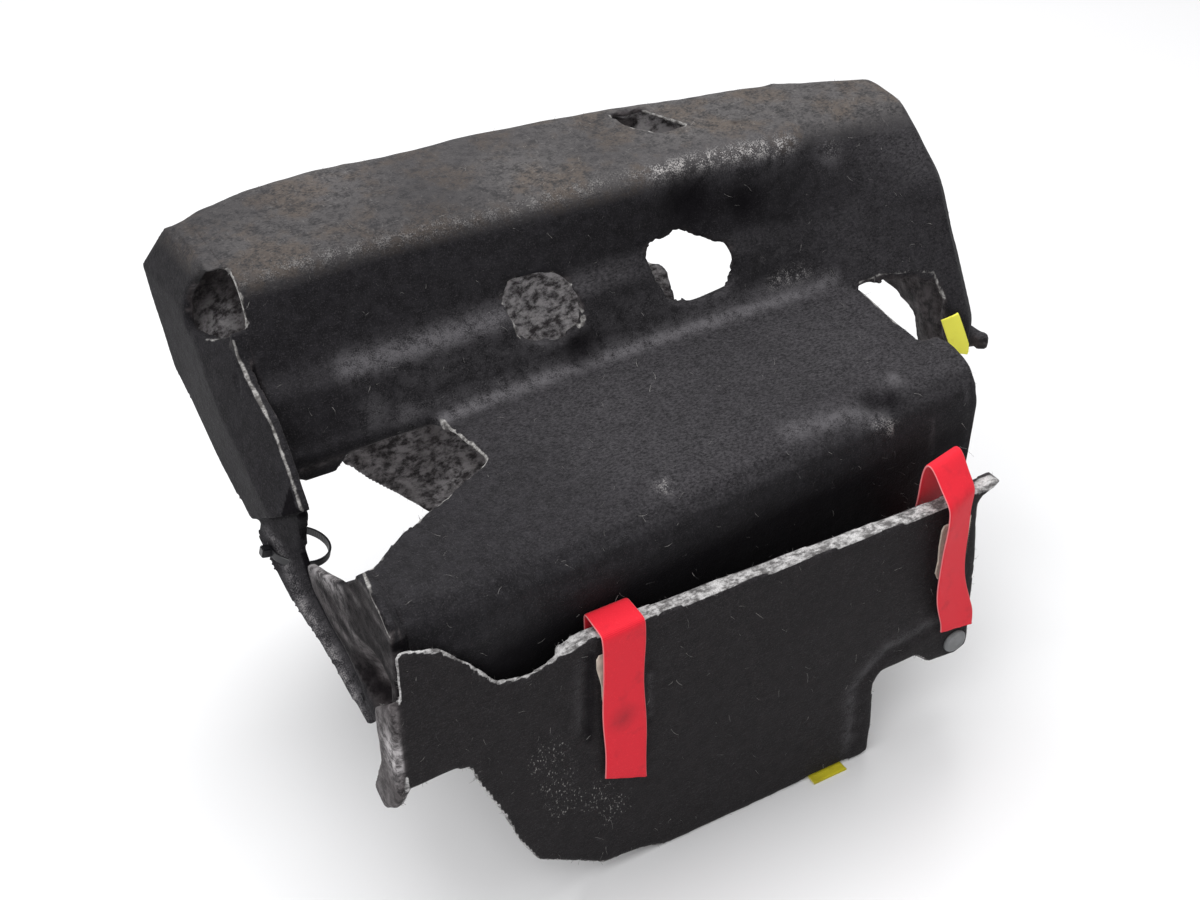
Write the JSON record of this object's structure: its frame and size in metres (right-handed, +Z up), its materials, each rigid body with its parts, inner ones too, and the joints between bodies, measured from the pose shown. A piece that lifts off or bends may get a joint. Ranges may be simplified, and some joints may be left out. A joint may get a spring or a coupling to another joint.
{
  "type": "engine cover",
  "caption": "Used moulded felt cover for an engine bay: stepped hood with holes, loose front panel held by red hook-and-loop straps, yellow strap ends and a cable tie.",
  "frame": {"origin": "bottom centre of the bounding box, on the surface it stands on", "axes": "+X along the length to the cheek end, +Y from the front panel to the rear wall, +Z up"},
  "size_m": [0.443, 0.2876, 0.312],
  "materials": {
    "felt": "matte fibrous felt, worn, grey-white at cut edges",
    "red_tape": "woven hook-and-loop tape",
    "hook_pad": "cream hook tape",
    "yellow_tape": "woven tape",
    "tie": "satin nylon",
    "clip": "matte nylon",
    "button": "matte grey"
  },
  "bodies": {
    "root": {"main_shell": "felt", "front_panel": "felt", "red_strap_left": "red_tape", "red_strap_right": "red_tape", "strap_pad_left": "hook_pad", "strap_pad_right": "hook_pad", "yellow_strap_right": "yellow_tape", "yellow_strap_bottom": "yellow_tape", "cable_tie": "tie", "fir_tree_clip": "clip", "panel_button": "button"}
  },
  "joints": []
}
